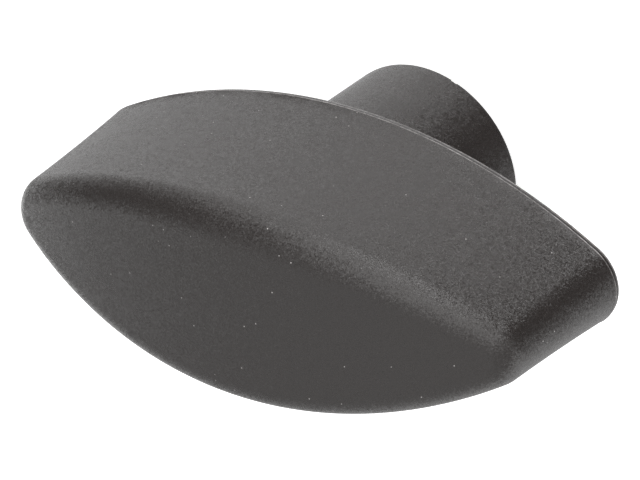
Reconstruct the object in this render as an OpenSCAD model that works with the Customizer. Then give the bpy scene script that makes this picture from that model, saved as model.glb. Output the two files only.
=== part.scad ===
// Wing nut: a moulded grip with a knurled, threaded metal insert in its boss.
// Millimetres. +Z runs along the screw axis from the clamping face up to the top of the grip.
// +X runs along the wings. The origin is the centre of the insert's clamping face.

/* [Grip] */
// Length of the grip over both wing tips
grip_l = 60; // [58:0.5:66]
// Width of the grip across its middle, at the parting line
grip_w = 22.9; // [22.5:0.1:24]
// Radius of the rounded wing tips, seen from above
tip_r = 4.6; // [4.4:0.1:5.4]
// Height of the grip's top above the clamping face, in the middle
top_h = 35.5; // [33:0.5:40]
// Crown radius of the top, along the grip
crown_r = 72.5; // [65:0.5:110]
// Crown radius of the top, across the grip
crown_cross_r = 98; // [80:1:200]
// Radius of the soft edge between the top and the sides
edge_r = 3.1; // [2:0.1:3.3]
// How far the sides lean in between the parting line and the top
flare = 0.85; // [0:0.05:1]
// Height over which the sides lean in
flare_h = 23; // [20:1:30]
// Height of the parting line above the underside of the grip
parting_h = 1.2; // [1.2:0.1:2]
// Radius of the rim between the parting line and the underside
rim_r = 1.1; // [0.3:0.1:1.1]

/* [Boss] */
// Diameter of the boss at its free end
boss_d = 20.8; // [20:0.1:21]
// Extra diameter of the boss where it meets the grip, for mould release
boss_draft = 0.4; // [0:0.1:0.6]
// Height of the plastic boss, from its free end to the underside of the grip
boss_h = 11.3; // [9:0.1:14]
// Radius of the boss's free edge
boss_edge_r = 0.65; // [0.2:0.05:1]
// Direction of the small gate mark on the boss's free edge, in degrees from +X towards +Y
gate_ang = 72; // [0:1:359]
// Radius of the gate mark
gate_r = 0.5; // [0.3:0.1:0.8]
// Depth of the gate mark in the boss's end face
gate_depth = 0.35; // [0.1:0.05:0.6]

/* [Cored underside] */
// Thickness of the side walls at the underside
wall_t = 2.8; // [2.2:0.1:3.4]
// Thickness of the roof under the crown
roof_t = 3; // [2.4:0.1:4]
// Thickness of the two cross ribs
rib_t = 2; // [1.5:0.1:3]
// Distance of each cross rib from the screw axis
rib_x = 19; // [18:0.5:21]
// Draft of the pocket walls, in degrees
pocket_draft = 1; // [0:0.25:1.5]

/* [Threaded insert] */
// Thread tip radius of the hole, M8 x 1.25
thread_r = 3.32; // [2.5:0.01:4.2]
// Depth of the hole with full diameter
thread_depth = 14; // [12:0.5:15]
// Radius of the countersunk mouth of the hole
mouth_r = 4.4; // [4.3:0.1:4.8]
// Outside diameter of the insert over its knurl
insert_d = 13.6; // [13:0.1:15]
// Depth of the knurl's grooves
knurl_depth = 0.45; // [0.2:0.05:0.6]
// Number of knurl teeth
knurl_teeth = 36; // [24:1:48]
// Length of the insert
insert_l = 17; // [17:0.5:19]
// How far the insert stands proud of the boss
insert_proud = 0.4; // [0.2:0.1:0.8]
// Diameter of the locking groove between the two knurled bands
lock_groove_d = 11.4; // [11:0.1:12]

/* [Hidden] */
$fn = 96;

// Wing outline: two wide arcs closed by two small tip arcs.
half_l = grip_l / 2;
half_w = grip_w / 2;
tip_cx = half_l - tip_r;
arc_r = (tip_cx * tip_cx + half_w * half_w - tip_r * tip_r) / (2 * (half_w - tip_r));
arc_off = arc_r - half_w;
tip_ang = atan2(arc_off, tip_cx);

// Heights above the clamping face.
boss_z = insert_proud;
under_z = boss_z + boss_h;
part_z = under_z + parting_h;

// Crown: a dome centred below the grip, flatter across than along.
crown_cz = top_h - crown_r;
crown_q = crown_r / crown_cross_r;

// Steps along and around the skin of the grip.
arc_steps = 36;
tip_steps = 12;
half_steps = arc_steps + tip_steps;
ring_points = 2 * half_steps;
rim_steps = 4;
wall_steps = 5;
edge_steps = 7;
crown_steps = 6;

// Insert bands, from the clamping face upwards.
collar_top = 1.6;
collar_step = 0.1;
face_chamfer = 0.3;
groove_bottom = 7.2;
groove_top = 9.2;
nose_h = 1.5;
nose_inset = 0.8;
knurl_top = insert_l - nose_h;
collar_r = insert_d / 2 - knurl_depth - collar_step;
drill_tip_h = thread_r * tan(31);
mouth_h = mouth_r - thread_r;

// Pockets: column they run up to, and the arc that rounds their far end.
column_r = boss_d / 2 + boss_draft / 2;
end_cx = 11;
end_extra = 0.6;
end_r = half_l - wall_t - end_cx - end_extra;
pocket_h = top_h - under_z;
draft_in = pocket_h * tan(pocket_draft);
cut_over = 1;

// One point of the outline at the parting line, with its outward direction: [x, y, nx, ny].
function arc_point(a) = [arc_r * cos(a), arc_r * sin(a) - arc_off, cos(a), sin(a)];
function tip_point(a) = [tip_r * cos(a) - tip_cx, tip_r * sin(a), cos(a), sin(a)];
function half_point(k) =
  k < arc_steps
  ? arc_point(tip_ang + (180 - 2 * tip_ang) * k / arc_steps)
  : tip_point(180 - tip_ang + 2 * tip_ang * (k - arc_steps) / tip_steps);
function outline_point(i) = i < half_steps ? half_point(i) : -half_point(i - half_steps);

// How far the side has leaned in at a height h above the parting line, and its slope there.
function lean(h) = flare * (2 * h / flare_h - h * h / (flare_h * flare_h));
function lean_angle(h) = atan(flare * (2 / flare_h - 2 * h / (flare_h * flare_h)));

// Height of a dome that lies r inside the crown, over the point x, y.
function crown_z(x, y, r) = crown_cz + sqrt(pow(crown_r - r, 2) - x * x - crown_q * y * y);

// Centre of a ball of radius edge_r that touches the side and the crown, found by repeated steps.
function ball_inset(z) = lean(z - part_z) + edge_r / cos(lean_angle(z - part_z));
function ball_xy(p, z) = [p.x - p[2] * ball_inset(z), p.y - p[3] * ball_inset(z)];
function ball_z(p, z, n) =
  let (c = ball_xy(p, z), next = crown_z(c.x, c.y, edge_r))
  n == 0 ? next : ball_z(p, next, n - 1);

function unit(v) = v / norm(v);

// Column of skin points over outline point p, from the rim up to just short of the middle.
function rim_column(p) = [
  for (k = [0:rim_steps])
    let (a = 90 * k / rim_steps, d = rim_r * (1 - sin(a)), z = under_z + rim_r * (1 - cos(a)))
    [p.x - p[2] * d, p.y - p[3] * d, z]
];
function wall_column(p, top) = [
  for (k = [0:wall_steps])
    let (z = part_z + (top - part_z) * k / wall_steps, d = lean(z - part_z))
    [p.x - p[2] * d, p.y - p[3] * d, z]
];
function edge_column(c, from, to) = [
  for (k = [1:edge_steps])
    c + edge_r * unit(from * (1 - k / edge_steps) + to * k / edge_steps)
];
function crown_column(e) = [
  for (k = [1:crown_steps - 1])
    let (s = 1 - k / crown_steps)
    [e.x * s, e.y * s, crown_z(e.x * s, e.y * s, 0)]
];
function skin_column(p) =
  let (
    z = ball_z(p, top_h - edge_r, 8),
    c = [each ball_xy(p, z), z],
    a = lean_angle(z - part_z),
    from = [p[2] * cos(a), p[3] * cos(a), sin(a)],
    to = unit([c.x, crown_q * c.y, c.z - crown_cz]),
    edge = edge_column(c, from, to)
  )
  [
    each rim_column(p),
    each wall_column(p, z + edge_r * sin(a)),
    each edge,
    each crown_column(edge[edge_steps - 1])
  ];

// Rings of the skin, from the underside's flat up to the last ring round the middle.
rings = (rim_steps + 1) + (wall_steps + 1) + edge_steps + (crown_steps - 1);
function skin_points() = [
  for (i = [0:ring_points - 1]) each skin_column(outline_point(i)),
  [0, 0, top_h]
];
function skin_index(i, k) = (i % ring_points) * rings + k;
function skin_faces() = [
  for (i = [0:ring_points - 1])
    for (k = [0:rings - 2])
      each [
        [skin_index(i, k), skin_index(i, k + 1), skin_index(i + 1, k + 1)],
        [skin_index(i, k), skin_index(i + 1, k + 1), skin_index(i + 1, k)]
      ],
  for (i = [0:ring_points - 1])
    [skin_index(i, rings - 1), ring_points * rings, skin_index(i + 1, rings - 1)],
  [for (i = [0:ring_points - 1]) skin_index(i, 0)]
];

// Outer skin of the grip, closed by the flat of its underside.
module grip_skin() {
  polyhedron(points = skin_points(), faces = skin_faces(), convexity = 4);
}

// Round boss, carried up into the grip as the column that holds the insert.
module boss_and_column() {
  base_r = boss_d / 2 + boss_draft / 2;
  end_r = boss_d / 2;
  rotate_extrude() {
    polygon([
      [0, boss_z],
      [end_r - boss_edge_r, boss_z],
      [end_r, boss_z + boss_edge_r],
      [base_r, under_z],
      [base_r, under_z + rim_r / 4],
      [0, under_z + rim_r / 4]
    ]);
    translate([end_r - boss_edge_r, boss_z + boss_edge_r]) circle(r = boss_edge_r);
  }
}

// Cone-walled disc that narrows upwards, for one drafted wall of a pocket.
module drafted_disc(x, y, r) {
  translate([x, y, under_z - cut_over])
    cylinder(r1 = r, r2 = r - draft_in, h = pocket_h + cut_over);
}

// Hollow inside one wing, before its rib is put back.
module wing_hollow() {
  difference() {
    intersection() {
      drafted_disc(0, -arc_off, arc_r - wall_t);
      drafted_disc(0, arc_off, arc_r - wall_t);
      drafted_disc(end_cx, 0, end_r);
      translate([0, 0, crown_cz]) sphere(r = crown_r - roof_t);
      translate([0, -half_w, 0]) cube([half_l, grip_w, top_h]);
    }
    translate([0, 0, under_z]) cylinder(r1 = column_r, r2 = column_r + draft_in / 2, h = pocket_h);
    translate([0, 0, under_z - 2 * cut_over]) cylinder(r = column_r, h = 3 * cut_over);
  }
}

// Rib across one wing, level with the underside and thicker towards the roof, for mould release.
module wing_rib() {
  rotate([90, 0, 0]) linear_extrude(height = grip_w, center = true) polygon([
    [rib_x - rib_t / 2, under_z - cut_over],
    [rib_x + rib_t / 2, under_z - cut_over],
    [rib_x + rib_t / 2 + draft_in, under_z + pocket_h],
    [rib_x - rib_t / 2 - draft_in, under_z + pocket_h]
  ]);
}

module wing_pocket() {
  difference() {
    wing_hollow();
    wing_rib();
  }
}

// Small round mark left by the gate, on the edge of the boss's free end.
module gate_mark() {
  rotate([0, 0, gate_ang]) translate([boss_d / 2 - gate_r / 2, 0, boss_z - cut_over])
    cylinder(r = gate_r, h = gate_depth + cut_over);
}

// Plain turned shape of the insert below its knurl.
module insert_core() {
  rotate_extrude() polygon([
    [0, 0],
    [collar_r - face_chamfer, 0],
    [collar_r, face_chamfer],
    [collar_r, groove_bottom],
    [lock_groove_d / 2, groove_bottom + face_chamfer],
    [lock_groove_d / 2, groove_top - face_chamfer],
    [collar_r, groove_top],
    [collar_r, knurl_top],
    [collar_r - nose_inset, insert_l],
    [0, insert_l]
  ]);
}

// Straight knurl teeth between two heights.
module knurl_band(z0, z1) {
  tooth = 360 / knurl_teeth;
  root_r = insert_d / 2 - knurl_depth;
  translate([0, 0, z0]) linear_extrude(height = z1 - z0) polygon([
    for (k = [0:knurl_teeth - 1])
      each [
        [root_r * cos(k * tooth), root_r * sin(k * tooth)],
        [insert_d / 2 * cos((k + 0.5) * tooth), insert_d / 2 * sin((k + 0.5) * tooth)]
      ]
  ]);
}

module insert_outside() {
  insert_core();
  knurl_band(collar_top, groove_bottom);
  knurl_band(groove_top, knurl_top);
}

// Blind hole at the thread's tip radius, with a countersunk mouth and a drill point.
module insert_hole() {
  rotate_extrude() polygon([
    [0, -cut_over],
    [mouth_r + cut_over, -cut_over],
    [thread_r, mouth_h],
    [thread_r, thread_depth],
    [0, thread_depth + drill_tip_h]
  ]);
}

module grip_body() {
  color([0.16, 0.16, 0.155]) difference() {
    union() {
      grip_skin();
      boss_and_column();
    }
    wing_pocket();
    rotate([0, 0, 180]) wing_pocket();
    gate_mark();
    insert_outside();
  }
}

module threaded_insert() {
  color([0.78, 0.62, 0.32]) difference() {
    insert_outside();
    insert_hole();
  }
}

grip_body();
threaded_insert();
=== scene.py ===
# %% [markdown]
# # A moulded wing nut
#
# The object is a hand nut: a boat-shaped grip that fingers turn, a round boss under it, and a
# brass bush with a thread inside the boss. The grip and the boss are one shot of charcoal
# plastic. The bush was put in the mould first and the plastic flowed round it.
#
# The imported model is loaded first, as a fixed frame. A scene could also be built by eye, but then
# nothing would fit that model, and here both have to be the same size.

# %% Load the frame
import bmesh
import bpy
import numpy as np
from mathutils import Matrix, Vector


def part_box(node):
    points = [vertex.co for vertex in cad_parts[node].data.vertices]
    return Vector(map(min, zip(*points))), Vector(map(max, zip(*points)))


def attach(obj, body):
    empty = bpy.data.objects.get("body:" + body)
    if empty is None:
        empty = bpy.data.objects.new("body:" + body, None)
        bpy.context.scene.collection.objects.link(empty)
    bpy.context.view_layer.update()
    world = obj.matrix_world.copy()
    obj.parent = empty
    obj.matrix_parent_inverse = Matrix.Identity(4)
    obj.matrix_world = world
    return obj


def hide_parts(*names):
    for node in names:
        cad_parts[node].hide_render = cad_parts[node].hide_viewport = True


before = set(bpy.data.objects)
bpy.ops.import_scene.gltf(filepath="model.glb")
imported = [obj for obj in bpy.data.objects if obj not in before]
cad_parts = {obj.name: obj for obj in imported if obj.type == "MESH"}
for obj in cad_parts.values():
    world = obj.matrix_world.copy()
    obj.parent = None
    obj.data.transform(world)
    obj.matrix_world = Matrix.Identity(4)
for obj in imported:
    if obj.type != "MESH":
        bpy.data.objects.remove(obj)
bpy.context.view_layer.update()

# %% [markdown]
# ## Sizes
#
# Everything is in metres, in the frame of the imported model: Z is the screw axis, with the
# clamping face at zero, and X runs along the wings. The big sizes are read from the boxes of the
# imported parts, so they can't drift away from them. The small ones are stated where they are first
# needed, in millimetres, as a maker's drawing would.
#
# The flash is the hair of plastic that stands out at the parting line. It reaches the box, so the
# grip itself is that much smaller.

# %% Sizes
MM = 0.001
FLASH_H = 0.05 * MM
BOSS_H = 11.3 * MM
PARTING_H = 1.2 * MM

body_low, body_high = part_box("grip_body")
_, bush_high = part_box("threaded_insert")
half_length = body_high.x - FLASH_H
half_width = body_high.y - FLASH_H
top_z = body_high.z
boss_end_z = body_low.z
bush_length = bush_high.z
bush_radius = bush_high.x
under_z = boss_end_z + BOSS_H
part_z = under_z + PARTING_H
print("grip", round(2000 * half_length, 2), "x", round(2000 * half_width, 2), "mm,",
      "top at", round(1000 * top_z, 2), "mm")

# %% [markdown]
# ## The camera
#
# A long lens from far away keeps the two wing tips almost the same size, so the shape reads true.
# The camera looks down at 44 degrees from the corner between +X and +Y, and it is rolled over, so
# that the nut seems to float with its boss pointing up and away.
#
# A camera can be turned by hand or made to track an empty object. Here it is placed by an aim,
# three angles and a distance, because a roll is then one plain number.

# %% Camera
AIM = Vector((-0.54, -0.43, 18.46)) * MM
AZIMUTH, ELEVATION, ROLL = np.radians([43.596, 44.300, -126.405])
DISTANCE = 0.7301
LENS = 426.36
NEAR, FAR = 0.01, 20


def camera_turn(azimuth, elevation, roll):
    """Rotation whose columns are the camera's right, up and back. Back points from the aim to the
    camera; a level right and up come from two cross products, and roll turns both about back."""
    level = np.cos(elevation)
    back = Vector((level * np.cos(azimuth), level * np.sin(azimuth), np.sin(elevation)))
    level_right = Vector((0, 0, 1)).cross(back).normalized()
    level_up = back.cross(level_right)
    right = level_right * np.cos(roll) + level_up * np.sin(roll)
    up = level_up * np.cos(roll) - level_right * np.sin(roll)
    return Matrix((right, up, back)).transposed()


camera_data = bpy.data.cameras.new("catalogue_camera")
camera_data.lens = LENS
camera_data.clip_start = NEAR
camera_data.clip_end = FAR
camera = bpy.data.objects.new("catalogue_camera", camera_data)
bpy.context.scene.collection.objects.link(camera)
turn = camera_turn(AZIMUTH, ELEVATION, ROLL)
camera.matrix_world = Matrix.Translation(AIM + turn.col[2] * DISTANCE) @ turn.to_4x4()
bpy.context.scene.camera = camera
print("camera at, mm:", [round(1000 * v, 1) for v in camera.matrix_world.translation])

# %% [markdown]
# ## Grids of points
#
# Every surface here is a grid: rows of points, each row a closed ring with the same number of
# points. Where a surface ends in a single point, a pole, it gets a fan of triangles. Blocks
# joined by Booleans could give such shapes too, but their faces come out uneven and shade badly.
# A grid has even faces, and its formula keeps every size in plain sight.

# %% Patches
def patch(grid, last_pole, first_pole=None):
    """Points, quads and triangles of a grid with shape (rows, columns, 3). Quad (i, j) joins row i
    to row i + 1. A pole is one extra point, joined to the first or the last row by a fan."""
    rows, columns, _ = grid.shape
    here = np.arange(columns)
    after = (here + 1) % columns
    row = np.arange(rows - 1)[:, None] * columns
    quads = np.stack([row + here, row + after, row + columns + after, row + columns + here], -1)
    points, fans = [grid.reshape(-1, 3)], []
    for pole, start, order in ((first_pole, 0, (1, 0)), (last_pole, (rows - 1) * columns, (0, 1))):
        if pole is not None:
            tip = np.full(columns, sum(len(p) for p in points))
            edge = (start + here, start + after)
            fans.append(np.stack([edge[order[0]], edge[order[1]], tip], -1))
            points.append(np.array([pole], float))
    return np.concatenate(points), quads.reshape(-1, 4), np.concatenate(fans)


def joined(patches):
    """One set of points, quads and triangles from several, with each patch's numbers moved past
    the points before it."""
    offsets = np.cumsum([0] + [len(points) for points, _, _ in patches[:-1]])
    points = np.concatenate([points for points, _, _ in patches])
    quads = np.concatenate([quads + k for (_, quads, _), k in zip(patches, offsets)])
    tris = np.concatenate([tris + k for (_, _, tris), k in zip(patches, offsets)])
    return points, quads, tris


def half_turned(piece):
    """The same patch turned by 180 degrees about Z: x and y change sign, so no face is turned
    inside out."""
    points, quads, tris = piece
    return points * np.array([-1.0, -1.0, 1.0]), quads, tris


# %% [markdown]
# ## From patches to an object
#
# The arrays go into a mesh in one go, which is much faster than adding faces one by one.
# Neighbouring patches share their border point for point, so merging the doubles closes the
# shell. The normals are turned outwards after that, since only a closed shell has an outside.
# Corners sharper than a given angle stay crisp, and all the rest is shaded smooth.

# %% Mesh objects
WELD = 0.0005 * MM


def make_object(name, piece, sharp_angle, marks=None):
    """A mesh object at the origin from one patch, with doubles merged, normals outwards and edges
    sharper than sharp_angle degrees left crisp. marks holds named values, one per point, that a
    material can read."""
    points, quads, tris = piece
    mesh = bpy.data.meshes.new(name)
    corners = np.concatenate([quads.ravel(), tris.ravel()])
    starts = np.concatenate([4 * np.arange(len(quads)), 4 * len(quads) + 3 * np.arange(len(tris))])
    mesh.vertices.add(len(points))
    mesh.vertices.foreach_set("co", points.ravel())
    mesh.loops.add(len(corners))
    mesh.loops.foreach_set("vertex_index", corners)
    mesh.polygons.add(len(starts))
    mesh.polygons.foreach_set("loop_start", starts)
    mesh.update(calc_edges=True)
    for key, values in (marks or {}).items():
        mesh.attributes.new(key, "FLOAT", "POINT").data.foreach_set("value", values)
    work = bmesh.new()
    work.from_mesh(mesh)
    bmesh.ops.remove_doubles(work, verts=work.verts, dist=WELD)
    bmesh.ops.recalc_face_normals(work, faces=work.faces)
    open_edges = sum(1 for edge in work.edges if not edge.is_manifold)
    work.to_mesh(mesh)
    work.free()
    mesh.polygons.foreach_set("use_smooth", np.ones(len(mesh.polygons), bool))
    mesh.set_sharp_from_angle(angle=np.radians(sharp_angle))
    made = bpy.data.objects.new(name, mesh)
    bpy.context.scene.collection.objects.link(made)
    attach(made, "root")
    mesh.calc_loop_triangles()
    print(name, len(mesh.loop_triangles), "triangles,", open_edges, "open edges")
    return made


# %% [markdown]
# ## The outline of the wings
#
# Seen from above, each long side of the grip is one wide arc, and a small arc closes each tip. A
# toolmaker picks such arcs because a cutter follows them in one pass. A drawn spline would come
# close, but its curvature wanders, and that shows in the reflections. The wide arc's radius is
# the one that meets the tip arc without a corner.
#
# The points are spaced evenly, and one point of each side falls exactly on the line of the rib
# inside the wing, so that the underside can be joined there later.

# %% Outline
TIP_R = 4.6 * MM
RIM_R = 1.1 * MM
RIB_X = 19.0 * MM
TO_RIB, TO_MIDDLE, ROUND_TIP = 44, 76, 56

tip_centre = half_length - TIP_R
arc_radius = (tip_centre**2 + half_width**2 - TIP_R**2) / (2 * (half_width - TIP_R))
arc_offset = arc_radius - half_width
tip_angle = np.arctan2(arc_offset, tip_centre)
rib_angle = np.arccos(RIB_X / (arc_radius - RIM_R))


def span(start, end, steps):
    """Evenly spaced values from start up to, and not including, end."""
    return start + (end - start) * np.arange(steps) / steps


def wing_outline():
    """Points on the outline at the parting line, counter-clockwise, and the outward direction at
    each. The first half is arc_radius * (cos a, sin a), lowered by arc_offset, then the left tip's
    arc; the second half is the first, turned."""
    pieces = [(tip_angle, rib_angle, TO_RIB), (rib_angle, np.pi / 2, TO_MIDDLE),
              (np.pi / 2, np.pi - rib_angle, TO_MIDDLE),
              (np.pi - rib_angle, np.pi - tip_angle, TO_RIB)]
    side = np.concatenate([span(*piece) for piece in pieces])
    tip = span(np.pi - tip_angle, np.pi + tip_angle, ROUND_TIP)
    facing = np.concatenate([np.stack([np.cos(a), np.sin(a)], -1) for a in (side, tip)])
    centre = np.concatenate([np.tile([0, -arc_offset], (len(side), 1)),
                             np.tile([-tip_centre, 0], (len(tip), 1))])
    reach = np.concatenate([np.full(len(side), arc_radius), np.full(len(tip), TIP_R)])
    points = centre + reach[:, None] * facing
    return np.concatenate([points, -points]), np.concatenate([facing, -facing])


outline, outward = wing_outline()
print("outline:", len(outline), "points, wide arc radius", round(arc_radius / MM, 2), "mm")

# %% [markdown]
# ## Side, dome and soft edge
#
# The two halves of the mould meet at the parting line, a millimetre above the underside. Above it
# the sides lean in slightly so that the part drops out of the mould, and they straighten towards
# the top. The top is a shallow dome, rounder along the grip than across. A ball rolled along the
# corner between side and dome leaves the soft edge. The ball grows by half a millimetre from the
# tips to the middle of the long sides, where the real edge is a little softer.
#
# A Bevel modifier could round that corner, but it stumbles where a leaning side meets a dome. So
# this is a profile carried round the outline. At each of its points the ball's centre is found by
# going back and forth a few times between "as far in as the side asks" and "as high as the dome
# allows".

# %% Side, dome and rolling ball
FLARE = 0.85 * MM
FLARE_H = 23.0 * MM
CROWN_R = 72.5 * MM
CROWN_CROSS_R = 98.0 * MM
EDGE_R = 3.1 * MM
EDGE_GAIN = 0.5 * MM
BALL_ROUNDS = 8

edge_r = EDGE_R + EDGE_GAIN * np.maximum(1 - (outline[:, 0] / tip_centre) ** 2, 0)
crown_centre_z = top_z - CROWN_R
crown_ratio = CROWN_R / CROWN_CROSS_R


def lean(height):
    """How far the side has moved in at a height above the parting line: FLARE times 2h - h
    squared, with h the height as a share of FLARE_H. It is steepest at the bottom and upright at
    FLARE_H."""
    h = height / FLARE_H
    return FLARE * (2 * h - h * h)


def lean_angle(height):
    """The side's tilt from the upright, in radians: the arctangent of the slope of lean."""
    return np.arctan(2 * FLARE / FLARE_H * (1 - height / FLARE_H))


def dome(x, y, inside=0.0):
    """Height of the crown over x, y: its centre plus the root of the radius squared less x squared
    less y squared times crown_ratio. With inside above zero, the same dome that far inside."""
    return crown_centre_z + np.sqrt((CROWN_R - inside) ** 2 - x * x - crown_ratio * y * y)


def rolling_ball():
    """Centre of the ball that touches both side and dome, for each point of the outline, and its
    tilt on the side."""
    z = top_z - edge_r
    for _ in range(BALL_ROUNDS):
        tilt = lean_angle(z - part_z)
        inset = lean(z - part_z) + edge_r / np.cos(tilt)
        xy = outline - outward * inset[:, None]
        z = dome(xy[:, 0], xy[:, 1], edge_r)
    return np.column_stack([xy, z]), tilt


ball, ball_tilt = rolling_ball()
print("soft edge: radius", round(edge_r.min() / MM, 2), "to", round(edge_r.max() / MM, 2), "mm,",
      "ball", round(ball[:, 2].min() / MM, 2), "to", round(ball[:, 2].max() / MM, 2), "mm high")

# %% [markdown]
# ## The flash
#
# Where the mould halves meet, a little plastic creeps into the gap and leaves a hair of flash. It
# is never even: it fades and comes back along the edge. Random noise would do for that, but a few
# sines are simpler to close on themselves: each has a whole number of turns round the outline.
# The troughs are cut off, so that a small bead is left everywhere.

# %% Flash
FLASH_W = 0.13 * MM
FLASH_MIDDLE, FLASH_SWING, FLASH_LEAST = 0.65, 0.3, 0.3
FLASH_WAVES = ((9, 0.6, 1.0), (23, 2.1, 0.8), (61, 4.0, 0.7))


def flash_height():
    """Height of the flash at each outline point. Each wave is a number of turns, a start and a
    weight: the sum of weight * sin(turns * angle + start) swings the height about FLASH_MIDDLE,
    and it is kept between FLASH_LEAST and 1, as a share of FLASH_H."""
    around = np.linspace(0, 2 * np.pi, len(outline), endpoint=False)
    wave = sum(weight * np.sin(turns * around + start) for turns, start, weight in FLASH_WAVES)
    return FLASH_H * np.clip(FLASH_MIDDLE + FLASH_SWING * wave, FLASH_LEAST, 1.0)


bead = flash_height() / MM
print("flash:", round(bead.min(), 3), "to", round(bead.max(), 3), "mm high")

# %% [markdown]
# ## The skin of the grip
#
# Now the profile is carried round: one ring of points after another, from the flat of the
# underside over the rounded rim, the bead of flash, the leaning side and the soft edge to the
# dome. The rows are close together on the rim and the edge, where the surface turns fast, and far
# apart on the side.

# %% Skin
RIM_ROWS, WALL_ROWS, EDGE_ROWS, CROWN_ROWS = 9, 14, 22, 14


def ring(inset, z):
    """One closed row of points: the outline moved in by inset, at height z. Both may be a number
    or one per point."""
    inset = np.broadcast_to(inset, len(outline))
    z = np.broadcast_to(z, len(outline))
    return np.column_stack([outline - outward * inset[:, None], z])


def grip_skin():
    """Rows from the underside's flat up to the last one round the middle of the dome. The rim is a
    quarter circle, the flash a three-point bead, the side a run of rings, the soft edge a turn of
    the ball's radius from the side's normal to the dome's, and the dome the edge's last ring drawn
    together."""
    quarter = np.linspace(0, np.pi / 2, RIM_ROWS)
    rows = [ring(RIM_R * (1 - np.sin(a)), under_z + RIM_R * (1 - np.cos(a))) for a in quarter]
    rows += [ring(0, part_z - FLASH_W / 2), ring(-flash_height(), part_z),
             ring(0, part_z + FLASH_W / 2)]
    side_normal = np.column_stack([outward * np.cos(ball_tilt)[:, None], np.sin(ball_tilt)])
    side_top = ball[:, 2] + edge_r * np.sin(ball_tilt)
    for share in np.linspace(0, 1, WALL_ROWS + 1)[1:]:
        z = part_z + FLASH_W / 2 + (side_top - part_z - FLASH_W / 2) * share
        rows.append(ring(lean(z - part_z), z))
    dome_normal = np.column_stack([ball[:, 0], crown_ratio * ball[:, 1],
                                   ball[:, 2] - crown_centre_z])
    dome_normal /= np.linalg.norm(dome_normal, axis=1)[:, None]
    for share in np.linspace(0, 1, EDGE_ROWS + 1)[1:]:
        way = side_normal * (1 - share) + dome_normal * share
        rows.append(ball + (edge_r / np.linalg.norm(way, axis=1))[:, None] * way)
    edge = rows[-1][:, :2]
    for share in np.linspace(1, 0, CROWN_ROWS + 1)[1:-1]:
        rows.append(np.column_stack([edge * share, dome(*(edge * share).T)]))
    return np.stack(rows)


skin = grip_skin()
skin_patch = patch(skin, last_pole=(0, 0, top_z))
print("skin:", skin.shape[0], "rows of", skin.shape[1])

# %% [markdown]
# ## The cored underside
#
# A block of plastic this thick would sink as it cools, so a mould of this kind has cores that
# leave the wings hollow from below, with walls of even thickness, a rib across each wing and a
# solid column round the bush. Nobody sees this side while the nut is in use.
#
# A pocket is a space between walls. Each wall is written as a distance that is negative inside
# the pocket, and the largest of them decides. A soft maximum in place of a hard one rounds the
# corners, as a cutter would. The pocket's edge is then found along rays from its middle, by
# halving the interval again and again, for all rays at once. Cutting the pockets out with a
# Boolean would leave long thin faces on the flat underside.

# %% Pocket walls
BOSS_R = 10.4 * MM
BOSS_DRAFT = 0.2 * MM
COLUMN_R = BOSS_R + BOSS_DRAFT
WALL_T = 2.8 * MM
RIB_T = 2.0 * MM
DRAFT = np.tan(np.radians(1.0))
CORNER = 1.6 * MM
END_CENTRE_X = 11.0 * MM
END_SPARE = 0.6 * MM
END_R = body_high.x - WALL_T - END_CENTRE_X - END_SPARE
FARTHEST = 16 * MM
HALVINGS = 34


def soft_max(a, b):
    """The larger of a and b, raised where they are closer than CORNER: a quarter of CORNER times
    the square of one less their difference over CORNER. It rounds the corner of two walls."""
    near = np.maximum(1 - np.abs(a - b) / CORNER, 0)
    return np.maximum(a, b) + CORNER / 4 * near**2


def pocket_distance(x, y, depth, outer):
    """Negative inside the pocket. The side walls are the outline's arcs moved in, and every wall
    leans in with depth."""
    give = DRAFT * depth
    distance = soft_max(np.hypot(x, y + arc_offset) - (arc_radius - WALL_T - give),
                        np.hypot(x, y - arc_offset) - (arc_radius - WALL_T - give))
    if outer:
        distance = soft_max(distance, RIB_X + RIB_T / 2 + give - x)
        return soft_max(distance, np.hypot(x - END_CENTRE_X, y) - (END_R - give))
    distance = soft_max(distance, x - (RIB_X - RIB_T / 2 - give))
    return soft_max(distance, COLUMN_R + give / 2 - np.hypot(x, y))


def pocket_reach(middle_x, angle, depth, grow, outer):
    """How far each ray from the pocket's middle runs to where the distance equals grow."""
    shape = np.broadcast(angle, depth).shape
    low, high = np.zeros(shape), np.full(shape, FARTHEST)
    for _ in range(HALVINGS):
        middle = (low + high) / 2
        x, y = middle_x + middle * np.cos(angle), middle * np.sin(angle)
        inside = pocket_distance(x, y, depth, outer) < grow
        low, high = np.where(inside, middle, low), np.where(inside, high, middle)
    return (low + high) / 2


print("pocket walls:", round(WALL_T / MM, 2), "mm, ribs:", round(RIB_T / MM, 2), "mm")

# %% [markdown]
# ## Tiles of the flat underside
#
# Each pocket belongs to a tile of the flat. The tile's border runs along the skin's first ring
# and along straight lines over the rib and the middle, and neighbouring tiles share those lines
# point for point. Fewer, larger tiles would need a hole in the middle of a face, which a mesh
# can't have.

# %% Tiles
ACROSS = 24
base = skin[0][:, :2]
half_count = len(outline) // 2
rib_high, middle_high = TO_RIB, TO_RIB + TO_MIDDLE
middle_low, rib_low = half_count + TO_RIB + TO_MIDDLE, half_count + TO_RIB + 2 * TO_MIDDLE


def line(start, end):
    """Points between two points of the border, without the ends."""
    share = np.linspace(0, 1, ACROSS + 2)[1:-1, None]
    return start * (1 - share) + end * share


def ring_part(first, last):
    """The base ring's points from first to last, both kept, passing over the start of the list if
    need be."""
    count = (last - first) % len(base) + 1
    return base[(first + np.arange(count)) % len(base)]


inner_border = np.concatenate([
    ring_part(middle_low, rib_low), line(base[rib_low], base[rib_high]),
    ring_part(rib_high, middle_high), line(base[middle_high], base[middle_low])])
outer_border = np.concatenate([ring_part(rib_low, rib_high), line(base[rib_high], base[rib_low])])
print("tile borders:", len(inner_border), "and", len(outer_border), "points")

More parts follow.
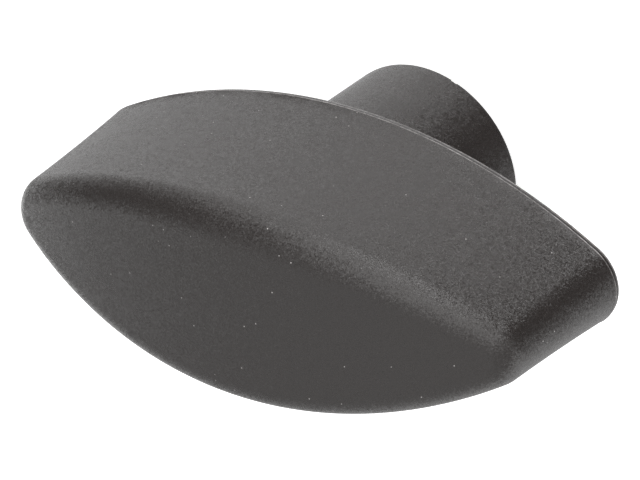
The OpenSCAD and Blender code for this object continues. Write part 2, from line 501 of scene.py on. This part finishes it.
# %% [markdown]
# ## The pockets
#
# Every point of a tile's border looks towards the pocket's middle, so the flat is a band from the
# border to the pocket's mouth on the same rays. From there the rays go over a small rounded lip,
# down the wall, round a fillet and across the roof to the middle. The roof follows the dome, a
# wall's thickness inside it. Each wing has two pockets, and the other wing's are the same,
# turned.

# %% Pockets
ROOF_T = 3.0 * MM
LIP_R = 0.35 * MM
FILLET_R = 1.0 * MM
LIP_ROWS, POCKET_ROWS, FILLET_ROWS, ROOF_ROWS = 4, 7, 5, 5
INNER_MIDDLE_X, OUTER_MIDDLE_X = 14.2 * MM, 22.6 * MM
FIRST_DEPTH = 15 * MM
DEPTH_ROUNDS = 6


def roof(x, y):
    """The inner dome: a sphere ROOF_T inside the crown."""
    return crown_centre_z + np.sqrt((CROWN_R - ROOF_T) ** 2 - x * x - y * y)


def pocket_and_tile(border, middle_x, outer):
    """Rows from the tile's border to the last ring round the pocket's middle, all on the same
    rays."""
    angle = np.arctan2(border[:, 1], border[:, 0] - middle_x)
    cos, sin = np.cos(angle), np.sin(angle)

    def place(reach, z):
        """The points at one reach along every ray, at height z."""
        return np.column_stack([middle_x + reach * cos, reach * sin,
                                np.broadcast_to(z, len(angle))])

    mouth = pocket_reach(middle_x, angle, 0.0, LIP_R, outer)
    far = np.hypot(border[:, 0] - middle_x, border[:, 1])
    rows = [place(far * (1 - s) + mouth * s, under_z) for s in (0, 0.5)]
    for a in np.linspace(0, np.pi / 2, LIP_ROWS + 1):
        depth = LIP_R * (1 - np.cos(a))
        reach = pocket_reach(middle_x, angle, depth, LIP_R * (1 - np.sin(a)), outer)
        rows.append(place(reach, under_z + depth))
    depth = np.full(len(angle), FIRST_DEPTH)
    for _ in range(DEPTH_ROUNDS):
        wall = pocket_reach(middle_x, angle, depth, 0.0, outer)
        depth = roof(middle_x + wall * cos, wall * sin) - FILLET_R - under_z
    for share in np.linspace(0, 1, POCKET_ROWS + 1)[1:]:
        now = LIP_R + (depth - LIP_R) * share
        rows.append(place(pocket_reach(middle_x, angle, now, 0.0, outer), under_z + now))
    for a in np.linspace(0, np.pi / 2, FILLET_ROWS + 1)[1:]:
        reach = pocket_reach(middle_x, angle, depth + FILLET_R * np.sin(a),
                             -FILLET_R * (1 - np.cos(a)), outer)
        z = roof(middle_x + reach * cos, reach * sin) - FILLET_R * (1 - np.sin(a))
        rows.append(place(reach, z))
    for share in np.linspace(1, 0, ROOF_ROWS + 1)[1:-1]:
        inwards = reach * share
        rows.append(place(inwards, roof(middle_x + inwards * cos, inwards * sin)))
    return patch(np.stack(rows), last_pole=(middle_x, 0, roof(middle_x, 0)))


inner = pocket_and_tile(inner_border, INNER_MIDDLE_X, False)
outer = pocket_and_tile(outer_border, OUTER_MIDDLE_X, True)
print("pockets:", len(inner[0]), "and", len(outer[0]), "points")

# %% [markdown]
# ## The boss
#
# The boss is turned: one profile carried round the axis, as a lathe cuts its mould. It narrows a
# little towards its free end and has a rounded edge there. Inside, the plastic lies against the
# bush. The shell is closed above, inside the column, where nothing shows. A cylinder with a bevel
# would look much the same from afar, but it has neither the draft nor the seat.
#
# Smooth shading bends the light over a whole face, so the profile has an extra point close to
# each end of the rounded edge. They keep the flat face flat and the side straight.

# %% Boss profile
BOSS_EDGE_R = 0.65 * MM
COLLAR_R = 6.25 * MM
COLLAR_H = 1.6 * MM
SEAT_GAP = 0.02 * MM
SEAT_ROOF_Z = bush_length + 0.1 * MM
SEAT_LIP_R = 0.12 * MM
GUARD, GUARD_SWELL = 0.1 * MM, 0.01 * MM
SHELL_R = BOSS_R - 2 * MM
SHELL_TOP_Z = bush_length + 2 * MM
SHELL_LAP = 0.6 * MM
AXIS_R = 1 * MM
FACE_STEP, SIDE_STEP, HIDDEN_STEP = 0.2 * MM, 0.9 * MM, 3 * MM


def along(corners, step):
    """A polyline with points added so that no gap is longer than step."""
    corners = np.array(corners, float)
    out = [corners[:1]]
    for start, end in zip(corners[:-1], corners[1:]):
        count = max(1, int(np.ceil(np.linalg.norm(end - start) / step)))
        out.append(start + (end - start) * np.arange(1, count + 1)[:, None] / count)
    return np.concatenate(out)


def arc(centre, radius, start, end, steps):
    """Points (r, z) on a circle from one angle to another, in degrees."""
    a = np.radians(np.linspace(start, end, steps + 1))
    return np.array(centre) + radius * np.column_stack([np.cos(a), np.sin(a)])


def boss_profile():
    """(r, z) from the roof of the bush's seat, down the seat, over the end face and the rounded
    edge, up the side and in again inside the column."""
    seat_r, collar_seat_r = bush_radius + SEAT_GAP, COLLAR_R + SEAT_GAP
    lip = (collar_seat_r + SEAT_LIP_R, boss_end_z + SEAT_LIP_R)
    edge = (BOSS_R - BOSS_EDGE_R, boss_end_z + BOSS_EDGE_R)
    return np.concatenate([
        along([(AXIS_R, SEAT_ROOF_Z), (seat_r, SEAT_ROOF_Z), (seat_r, COLLAR_H),
               (collar_seat_r, COLLAR_H)], HIDDEN_STEP),
        arc(lip, SEAT_LIP_R, 180, 270, steps=4),
        along([(collar_seat_r + 2 * SEAT_LIP_R, boss_end_z), (edge[0] - GUARD, boss_end_z)],
              FACE_STEP),
        arc(edge, BOSS_EDGE_R, -90, 0, steps=12),
        along([(BOSS_R + GUARD_SWELL, edge[1] + GUARD), (COLUMN_R, under_z),
               (COLUMN_R, under_z + SHELL_LAP)], SIDE_STEP),
        along([(SHELL_R, under_z + SHELL_LAP), (SHELL_R, SHELL_TOP_Z), (AXIS_R, SHELL_TOP_Z)],
              HIDDEN_STEP),
    ])


boss_side = boss_profile()
print("boss profile:", len(boss_side), "points")

# %% [markdown]
# ## The gate mark
#
# The plastic came in through a small gate at the edge of the boss's end, and a dish is left where
# it was broken off. The profile is carried round first. Then the points near the gate are raised,
# which needs no cutting, because the rings are close enough together there to show a round dish.

# %% Gate mark
GATE_ANGLE = np.radians(70.5)
GATE_R = 0.42 * MM
GATE_DEPTH = 0.5 * MM
GATE_FADE = 0.3
BOSS_TURNS = 432


def turned(profile, steps):
    """The profile carried round Z: (r cos a, r sin a, z), as a grid with one row per profile
    point."""
    a = np.linspace(0, 2 * np.pi, steps, endpoint=False)
    r, z = profile[:, :1], profile[:, 1:]
    return np.stack([r * np.cos(a), r * np.sin(a), np.broadcast_to(z, (len(profile), steps))], -1)


def press_gate_mark(grid):
    """Raises the points of the end face near the gate: by GATE_DEPTH in the middle, and by a smooth
    step down to nothing over a band of GATE_FADE times GATE_R at the dish's edge."""
    centre = (BOSS_R - GATE_R / 2) * np.array([np.cos(GATE_ANGLE), np.sin(GATE_ANGLE)])
    away = np.hypot(grid[..., 0] - centre[0], grid[..., 1] - centre[1]) / GATE_R
    share = np.clip((1 + GATE_FADE / 2 - away) / GATE_FADE, 0, 1)
    dish_z = boss_end_z + GATE_DEPTH * share * share * (3 - 2 * share)
    grid[..., 2] = np.maximum(grid[..., 2], dish_z)
    return grid


boss_grid = press_gate_mark(turned(boss_side, BOSS_TURNS))
boss = patch(boss_grid, last_pole=(0, 0, SHELL_TOP_Z), first_pole=(0, 0, SEAT_ROOF_Z))
print("boss:", len(boss[0]), "points")

# %% [markdown]
# ## One moulding
#
# Skin, tiles, pockets and boss become one object, as they are one shot of plastic. The thin flash
# and the rounded corner of the rim below it get a painted highlight: a paler colour for the light
# they catch at the edge, and on the flash partly its own paler plastic. The mesh carries a mark on
# those rows of points, and the plastic's material reads it. A mask worked out from the height
# alone would paint the inside of the pockets too.

# %% Moulding
# The flash's row and the rim's rows below it carry a painted highlight, the light caught by the
# flash and the rim's rounded corner.
FLASH_ROW = RIM_ROWS + 1
RIM_HIGHLIGHT_ROWS = (5, 6)
RIM_HIGHLIGHT_SHARE = 0.7


def flash_and_rim_highlight_marks(count):
    """How much painted highlight each point gets. On the flash's row it is halfway between 1 and
    the flash's own share of its full height, the rim's rows get a fixed share of that, and the rest
    have zero."""
    pale = np.zeros(count)
    for row, share in ((FLASH_ROW, 1.0), *((row, RIM_HIGHLIGHT_SHARE) for row in RIM_HIGHLIGHT_ROWS)):
        first = row * len(outline)
        pale[first:first + len(outline)] = share * (0.5 + 0.5 * flash_height() / FLASH_H)
    return pale


moulding = joined([skin_patch, inner, outer, half_turned(inner), half_turned(outer), boss])
grip = make_object("grip_moulding", moulding, sharp_angle=40,
                   marks={"pale_flash_and_rim_highlight": flash_and_rim_highlight_marks(len(moulding[0]))})
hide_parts("grip_body")

# %% [markdown]
# ## The thread
#
# The bush is turned from bar. Its hole has a countersunk mouth and a thread of 1.25 mm pitch,
# tapped into a blind hole.
#
# The thread could be swept as a coil and cut out, but a hole's wall is simpler: it is a radius
# that depends on the angle and the height. Going once round lifts the same profile by one pitch.
# The larger of thread and countersink wins at the mouth, and the thread's depth fades out where
# the tap stopped.

# %% Threaded hole
PITCH = 1.25 * MM
THREAD_TIP_R = 3.32 * MM
THREAD_ROOT_R = 4.0 * MM
TIP_FLAT, ROOT_FLAT = 0.25, 0.125
HOLE_DEPTH = 14.0 * MM
TAP_END = 12.4 * MM
MOUTH_R = 4.4 * MM
DRILL_SLOPE = np.tan(np.radians(31))
ROWS_PER_PITCH = 24
BUSH_TURNS = 216

bush_angle = np.linspace(0, 2 * np.pi, BUSH_TURNS, endpoint=False)


def thread_radius(z):
    """Radius of the tapped wall: the phase is z over the pitch less the turn, and the profile rises
    at 60 degrees from a flat of a quarter pitch to a flat of an eighth."""
    phase = (z / PITCH - bush_angle / (2 * np.pi)) % 1.0
    from_root = np.abs(phase - 0.5)
    flank = (1 - TIP_FLAT - ROOT_FLAT) / 2
    rise = np.clip((0.5 - TIP_FLAT / 2 - from_root) / flank, 0, 1)
    fade = np.clip((TAP_END - z) / PITCH, 0, 1)
    return THREAD_TIP_R + (THREAD_ROOT_R - THREAD_TIP_R) * rise * fade


def round_axis(radius, z):
    """Grid of points (radius cos a, radius sin a, z), with one row for each height."""
    z = np.broadcast_to(z, radius.shape)
    return np.stack([radius * np.cos(bush_angle), radius * np.sin(bush_angle), z], -1)


def bush_hole():
    """Rows of the hole's wall from the mouth to the drill point."""
    z = np.concatenate([np.arange(0, TAP_END, PITCH / ROWS_PER_PITCH),
                        np.linspace(TAP_END, HOLE_DEPTH, 4)])[:, None]
    radius = np.maximum(np.maximum(MOUTH_R - z, THREAD_TIP_R), thread_radius(z))
    return patch(round_axis(radius, z), last_pole=(0, 0, HOLE_DEPTH + THREAD_TIP_R * DRILL_SLOPE))


hole = bush_hole()
print("threaded hole:", len(hole[0]), "points")

# %% [markdown]
# ## The outside of the bush
#
# Two knurled bands and a groove between them lock the bush in the plastic: the knurl stops it
# from turning, the groove from being pulled out. Its end stands a little proud, so that metal and
# not plastic takes the clamping load.
#
# A knurl could be an array of copied teeth. As a wave added to the turned profile's radius it is
# one line of arithmetic. Two rings a hair apart let a band begin and end with a sharp step.

# %% Knurled outside
LOW_BAND = (COLLAR_H, 7.2 * MM)
HIGH_BAND = (9.2 * MM, bush_length - 1.5 * MM)
TEETH = 36
KNURL_LIFT = 0.1 * MM
KNURL_DEPTH = 0.45 * MM
GROOVE_R = 5.7 * MM
GROOVE_FLAT = (7.5 * MM, 8.9 * MM)
NOSE_R = COLLAR_R - 0.8 * MM
END_CHAMFER = 0.3 * MM
HAIR = 0.01 * MM
NOSE_MIDDLE_R = 2 * MM
END_STEP, COLLAR_STEP = 0.4 * MM, 0.5 * MM


def knurl(z):
    """How far the surface stands out of the collar: a triangle wave round the axis, only inside the
    two bands."""
    tooth = np.abs((bush_angle * TEETH / (2 * np.pi)) % 1.0 - 0.5) * 2
    in_band = ((z > LOW_BAND[0]) & (z < LOW_BAND[1])) | ((z > HIGH_BAND[0]) & (z < HIGH_BAND[1]))
    return np.where(in_band, KNURL_LIFT + KNURL_DEPTH * (1 - tooth), 0.0)


def bush_outside():
    """Rows from the mouth's edge over the end face, the chamfer, the bands and the groove to the
    far end."""
    collar = [LOW_BAND[0] + HAIR, LOW_BAND[1] - HAIR, LOW_BAND[1]]
    far_collar = [HIGH_BAND[0], HIGH_BAND[0] + HAIR, HIGH_BAND[1] - HAIR, HIGH_BAND[1]]
    profile = np.concatenate([
        along([(MOUTH_R, 0), (COLLAR_R - END_CHAMFER, 0)], END_STEP),
        along([(COLLAR_R, END_CHAMFER), (COLLAR_R, COLLAR_H)], COLLAR_STEP),
        [(COLLAR_R, z) for z in collar],
        [(GROOVE_R, z) for z in GROOVE_FLAT],
        [(COLLAR_R, z) for z in far_collar],
        [(NOSE_R, bush_length), (NOSE_MIDDLE_R, bush_length)],
    ])
    z = profile[:, 1:]
    return patch(round_axis(profile[:, :1] + knurl(z), z), last_pole=(0, 0, bush_length))


bush = make_object("threaded_bush", joined([hole, bush_outside()]), sharp_angle=30)
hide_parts("threaded_insert")

# %% [markdown]
# ## Writing shader maths as expressions
#
# A material is a network of nodes. It could be wired node by node, but then a sum takes four
# lines and its meaning is lost. So one small class wraps a socket, and a sum or a product in
# Python adds the Math node it stands for.

# %% Sockets
class Value:
    """A socket of a recipe. Arithmetic on it adds Math nodes."""

    def __init__(self, recipe, socket):
        self.recipe, self.socket = recipe, socket

    def math(self, operation, *values):
        return self.recipe.node("ShaderNodeMath", {"operation": operation}, dict(enumerate(values)))

    def __add__(self, other):
        return self.math("ADD", self, other)

    def __sub__(self, other):
        return self.math("SUBTRACT", self, other)

    def __mul__(self, other):
        return self.math("MULTIPLY", self, other)

    def __pow__(self, other):
        return self.math("POWER", self, other)

    def __rsub__(self, other):
        return self.math("SUBTRACT", other, self)

    __radd__ = __add__
    __rmul__ = __mul__

    def exp(self):
        return self.math("EXPONENT", self)

    def sin(self):
        return self.math("SINE", self)

    def above(self, low, high):
        """0 below low, 1 above high, and a smooth step between."""
        return self.recipe.node("ShaderNodeMapRange", {"interpolation_type": "SMOOTHSTEP"},
                                {0: self, 1: low, 2: high})


# %% [markdown]
# ## Recipes
#
# A recipe is one network: a material's, or that of the world's light. One method adds any node,
# and the other methods are the few nodes that are used again and again. Every pattern reads the
# object's own coordinates, so it stays on the plastic or the brass however the nut is turned.

# %% Recipes
class Recipe:
    """The nodes of a material, or of the world's light."""

    def __init__(self, owner):
        self.owner = owner
        owner.use_nodes = True
        self.nodes, self.links = owner.node_tree.nodes, owner.node_tree.links
        self.nodes.clear()

    def node(self, kind, settings=None, inputs=None, output=0):
        """Adds a node, sets its settings, then gives each input its value or its link, and returns
        one output."""
        made = self.nodes.new(kind)
        for key, value in (settings or {}).items():
            setattr(made, key, value)
        for key, value in (inputs or {}).items():
            if isinstance(value, Value):
                self.links.new(value.socket, made.inputs[key])
            else:
                made.inputs[key].default_value = value
        return Value(self, made.outputs[output]) if made.outputs else None

    def place(self):
        """The object's own coordinates, in metres."""
        return self.node("ShaderNodeTexCoord", output="Object")

    def noise(self, scale, detail=2.0, roughness=0.5):
        """Smooth noise about 0.5 with a lump size of about 1 / scale metres."""
        return self.node("ShaderNodeTexNoise", {}, {"Vector": self.place(), "Scale": scale,
                                                    "Detail": detail, "Roughness": roughness})

    def cells(self, scale, output):
        """Cells scattered through space: how far the nearest middle is, in cell widths, or that
        cell's own colour."""
        return self.node("ShaderNodeTexVoronoi", {}, {"Vector": self.place(), "Scale": scale},
                         output)

    def blend(self, share, first, second):
        """A colour between two others."""
        return self.node("ShaderNodeMix", {"data_type": "RGBA"}, {0: share, 6: first, 7: second}, 2)

    def bump(self, height, distance, **below):
        """Normals of a surface raised by height times distance, over other normals if given."""
        return self.node("ShaderNodeBump", {}, {"Height": height, "Distance": distance, **below})

    def finish(self, **inputs):
        """One Principled shader into the output; names use _ for a space."""
        named = {key.replace("_", " "): value for key, value in inputs.items()}
        shader = self.node("ShaderNodeBsdfPrincipled", {}, named)
        self.node("ShaderNodeOutputMaterial", {}, {0: shader})
        return self.owner


def new_material(name):
    return Recipe(bpy.data.materials.new(name))


# %% [markdown]
# ## Charcoal plastic
#
# The mould's surface was eroded by sharp little sparks, and each spark left a small dish. The
# plastic copies them, so its skin is a field of tiny flats about a seventh of a millimetre wide,
# every one tilted its own way. Between a bright patch of light and a dark one some flats catch
# the light and others miss it, and the plastic seems to glitter. Where the light is even, the
# same skin looks smooth and matt.
#
# A plain bump of soft noise can't do that: it makes rows of ripples, like leather. So the tilt
# comes from scattered cells, with one random push of the normal in each, and only a fine noise on
# top of them is a bump. The black is never quite black. It is a warm, very dark grey, a little
# paler on the grain's peaks.

# %% Grain
GRAIN = 9000
GRAIN_DEPTH = 0.04 * MM
CLOUD = 260
FACETS = 7000
FACET_TILT = 0.35
CHARCOAL_DARK, CHARCOAL_PALE, CHARCOAL_WARMTH = 0.0145, 0.0205, 0.2


def grey(value, warmth=0.0):
    """A grey, with red raised by a share of it and blue lowered by a third of that."""
    return (value * (1 + warmth), value, value * (1 - warmth / 3), 1)


def facets(r):
    """Normals of a surface broken into tiny flats: in each cell the normal is pushed, along each
    axis, by up to half of FACET_TILT either way."""
    push = r.node("ShaderNodeVectorMath", {"operation": "MULTIPLY_ADD"},
                  {0: r.cells(FACETS, "Color"), 1: (FACET_TILT,) * 3, 2: (-FACET_TILT / 2,) * 3})
    smooth = r.node("ShaderNodeNewGeometry", output="Normal")
    pushed = r.node("ShaderNodeVectorMath", {"operation": "ADD"}, {0: smooth, 1: push})
    return r.node("ShaderNodeVectorMath", {"operation": "NORMALIZE"}, {0: pushed})


def grained(r):
    """Colour, roughness and normals of the bare plastic."""
    grain, cloud = r.noise(GRAIN, 3, 0.6), r.noise(CLOUD)
    colour = r.blend(grain.above(0.35, 0.75), grey(CHARCOAL_DARK, CHARCOAL_WARMTH),
                     grey(CHARCOAL_PALE, CHARCOAL_WARMTH))
    rough = 0.22 + 0.06 * grain + 0.04 * cloud
    return colour, rough, r.bump(grain, GRAIN_DEPTH, Normal=facets(r))


print("grain: flats about", round(1000 / FACETS, 2), "mm wide")


# %% [markdown]
# ## Dust and painted edge highlights
#
# A nut fresh from its bag carries a few specks of pale dust. They are small balls in space, one
# in each chosen cell, and a speck shows where the surface cuts its ball. The cell's own random
# colour decides whether it has one, so about one cell in twelve does.
#
# The flash at the parting line and the rounded corner of the rim below it get a painted highlight:
# a paler colour for the light they catch, and on the flash partly its own paler plastic. The mesh
# carries a mark there, and a slow noise breaks the two lines up.

# %% Plastic
SPECK_CELLS = 1500
SPECK_CORE, SPECK_EDGE = 0.06, 0.12
SPECK_CHANCE = (0.91, 0.92)
DUST = grey(0.5, 0.05)
BREAK_UP = 1500
# Colour of the painted highlight on the flash and the rim's rounded corner.
FLASH_AND_RIM_HIGHLIGHT = grey(0.42, 0.05)
PLASTIC_IOR = 1.5


def dusted(r, bare):
    """The bare colour with pale specks about a tenth of a millimetre across."""
    in_ball = 1 - r.cells(SPECK_CELLS, "Distance").above(SPECK_CORE, SPECK_EDGE)
    chance = r.node("ShaderNodeSeparateColor", {}, {0: r.cells(SPECK_CELLS, "Color")})
    return r.blend(in_ball * chance.above(*SPECK_CHANCE), bare, DUST)


def with_flash_and_rim_highlight(r, colour):
    """The colour with a painted highlight on the marked edges, by a broken amount."""
    marked = r.node("ShaderNodeAttribute", {"attribute_name": "pale_flash_and_rim_highlight"}, output="Fac")
    amount = marked * (0.5 + 0.5 * r.noise(BREAK_UP).above(0.4, 0.6))
    return r.blend(amount, colour, FLASH_AND_RIM_HIGHLIGHT)


def charcoal_plastic():
    r = new_material("charcoal_technopolymer")
    bare, rough, normal = grained(r)
    colour = with_flash_and_rim_highlight(r, dusted(r, bare))
    return r.finish(Base_Color=colour, Roughness=rough, Normal=normal, IOR=PLASTIC_IOR)


grip.data.materials.append(charcoal_plastic())
print("plastic:", len(grip.data.materials[0].node_tree.nodes), "nodes")

# %% [markdown]
# ## Turned brass
#
# The bush was turned on a lathe and then handled. The tool leaves fine rings round the axis,
# which are a sine of the distance from the axis, far too shallow to feel. Modelled rings would
# cost far too many faces, so they are a bump. Fingers and air dull brass in patches, so the
# colour and the roughness follow one noise: where the metal is duller it is also browner.

# %% Brass
TOOL_FEED = 0.06 * MM
RING_DEPTH = 0.003 * MM
TARNISH = 900
DULL_BRASS, BRIGHT_BRASS = (0.72, 0.52, 0.24, 1), (0.86, 0.68, 0.36, 1)


def turned_brass():
    r = new_material("brass")
    x, y = (r.node("ShaderNodeSeparateXYZ", {}, {0: r.place()}, axis) for axis in "XY")
    radius = (x * x + y * y) ** 0.5
    rings = (radius * (2 * np.pi / TOOL_FEED)).sin()
    bright = r.noise(TARNISH, 4, 0.6)
    return r.finish(Base_Color=r.blend(bright, DULL_BRASS, BRIGHT_BRASS), Metallic=1.0,
                    Roughness=0.40 - 0.16 * bright, Normal=r.bump(rings, RING_DEPTH))


bush.data.materials.append(turned_brass())
print("brass:", len(bush.data.materials[0].node_tree.nodes), "nodes")

# %% [markdown]
# ## The floor
#
# The nut stands on a plain white floor, which runs far out so that no edge of it shows. A white
# sheet that is lit a little from behind has almost no shadow on it, so part of the floor's white
# is its own glow. The plastic doesn't mirror the floor: the light tent below does that work, and
# then one place sets all the light on the nut.

# %% Floor
FLOOR_SIZE = 8.0
FLOOR_Z = -0.02 * MM
FLOOR_GLOW = 0.7


def flat_square(name, size, z):
    """A level square round the axis, with its middle at height z."""
    mesh = bpy.data.meshes.new(name)
    s = size / 2
    mesh.from_pydata([(-s, -s, z), (s, -s, z), (s, s, z), (-s, s, z)], [], [(0, 1, 2, 3)])
    made = bpy.data.objects.new(name, mesh)
    bpy.context.scene.collection.objects.link(made)
    return made


floor = flat_square("floor", FLOOR_SIZE, FLOOR_Z)
floor.visible_glossy = floor.visible_diffuse = floor.visible_shadow = False
paint = new_material("pale_floor")
mottled = paint.blend(paint.noise(40, 2), grey(0.86), grey(0.88))
floor.data.materials.append(paint.finish(Base_Color=mottled, Roughness=0.9,
                                         Emission_Color=grey(1.0), Emission_Strength=FLOOR_GLOW))
print("floor:", FLOOR_SIZE, "m square at", round(FLOOR_Z / MM, 2), "mm")

# %% [markdown]
# ## The light tent
#
# Small matt parts look best in a tent of white cloth with lamps outside it. The cloth glows
# brightest near each lamp and falls off softly, so the nut sees a few broad patches of light all
# round, from below as well. Area lamps could do it, but each has a hard edge that shows in the
# plastic. Glows of the world have none.
#
# Each patch is a hill on the sphere of directions. A hill's height is its strength at the middle,
# and falls by the exponential of its sharpness times one less the cosine of the angle away from
# the middle. A sharpness of 4 is a patch about 70 degrees wide, and 30 is one about 25 degrees
# wide.

# %% Light tent
FAINT_GLOW = 0.004
tent = Recipe(bpy.data.worlds.new("light_tent"))
direction = tent.node("ShaderNodeTexCoord", output="Generated")


def soft_patch(azimuth, elevation, sharpness, strength):
    """Glow of the tent round one middle: strength times exp(sharpness * (cosine - 1))."""
    a, e = np.radians([azimuth, elevation])
    middle = (np.cos(e) * np.cos(a), np.cos(e) * np.sin(a), np.sin(e))
    cosine = tent.node("ShaderNodeVectorMath", {"operation": "DOT_PRODUCT"},
                       {0: direction, 1: middle}, "Value")
    return (cosine * sharpness - sharpness).exp() * strength


lamp = soft_patch(azimuth=76, elevation=-14, sharpness=160, strength=22.5)
side_wall = soft_patch(azimuth=105, elevation=-8, sharpness=14.5, strength=3.5)
high_window = soft_patch(azimuth=62, elevation=35, sharpness=7.7, strength=4.0)
back_wall = soft_patch(azimuth=-152, elevation=-23, sharpness=17.7, strength=2.1)
table_side = soft_patch(azimuth=100, elevation=-56, sharpness=59, strength=2.0)
left_wall = soft_patch(azimuth=-29, elevation=-13, sharpness=14, strength=2.5)
back_lamp = soft_patch(azimuth=-162, elevation=25, sharpness=23, strength=1.8)
low_left = soft_patch(azimuth=-75, elevation=-24, sharpness=4.7, strength=1.45)
table_back = soft_patch(azimuth=153, elevation=-48, sharpness=11.6, strength=1.5)
ceiling = soft_patch(azimuth=-89, elevation=64, sharpness=3.4, strength=1.3)
glow = sum([side_wall, high_window, back_wall, table_side, left_wall, back_lamp, low_left,
            table_back, ceiling], lamp)
background = tent.node("ShaderNodeBackground", {},
                       {"Color": grey(1.0), "Strength": glow + FAINT_GLOW})
tent.node("ShaderNodeOutputWorld", {}, {0: background})
bpy.context.scene.world = tent.owner
bpy.context.scene.view_settings.view_transform = "Standard"
print("light tent:", len(tent.nodes), "nodes")
